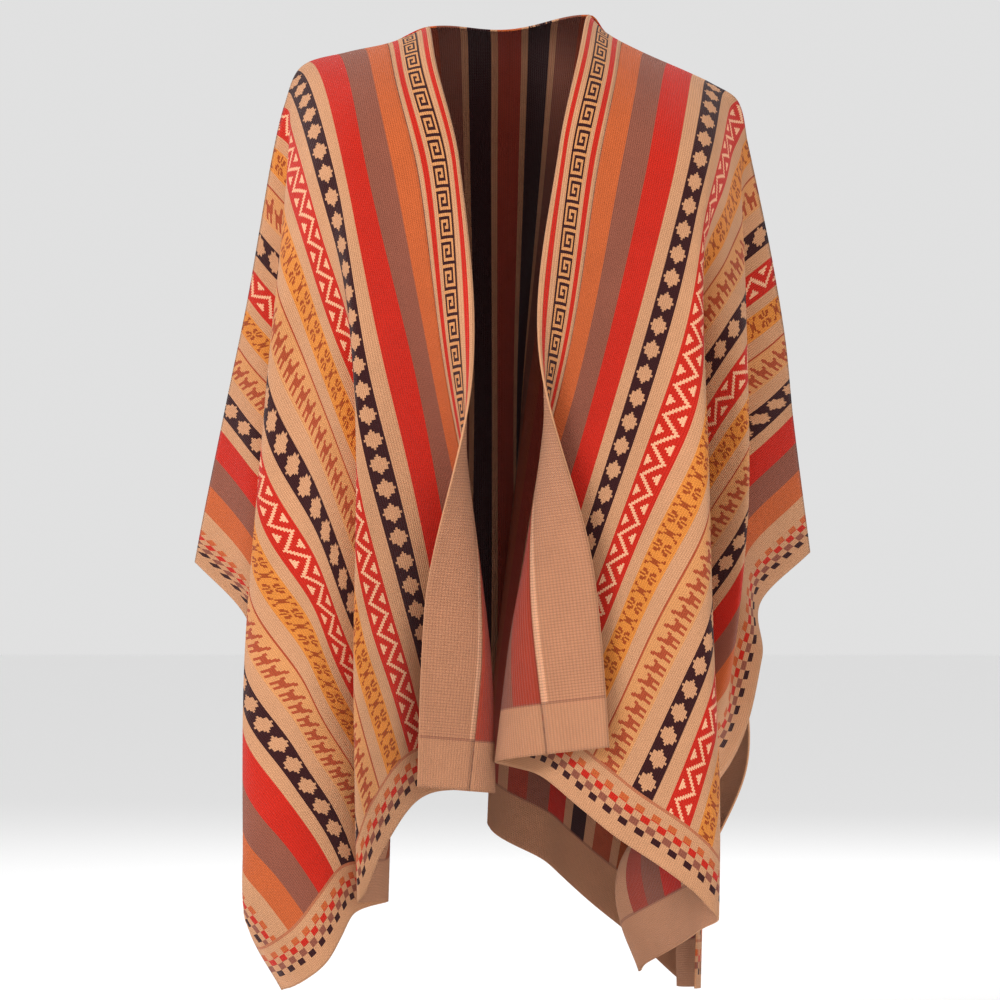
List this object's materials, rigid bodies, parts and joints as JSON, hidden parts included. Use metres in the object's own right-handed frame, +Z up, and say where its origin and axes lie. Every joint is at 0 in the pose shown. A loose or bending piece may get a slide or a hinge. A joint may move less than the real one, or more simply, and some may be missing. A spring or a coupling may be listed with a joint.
{
  "type": "open-front knitted poncho",
  "caption": "Knitted wool poncho, open down the front, with a patterned edge band, striped panels with woven motifs and deep folds, in the hollow form it has when it is worn",
  "frame": {"origin": "between the shoulder lines at the height of the shoulders, where the wearer carries the garment", "axes": "+X to the wearer's left, +Y to the wearer's back, +Z up"},
  "size_m": [0.623, 0.3323, 0.9912],
  "materials": {
    "panel_knit": "matt wool knit in stripes of orange, cream, red, mauve and near-black with small motifs",
    "back_knit": "matt wool knit in the same stripes as the front panels",
    "band_knit": "matt wool knit, cream and red with a near-black Greek key"
  },
  "bodies": {
    "root": {"front_right": "panel_knit", "front_left": "panel_knit", "back": "back_knit", "band_right": "band_knit", "band_left": "band_knit"}
  },
  "joints": []
}
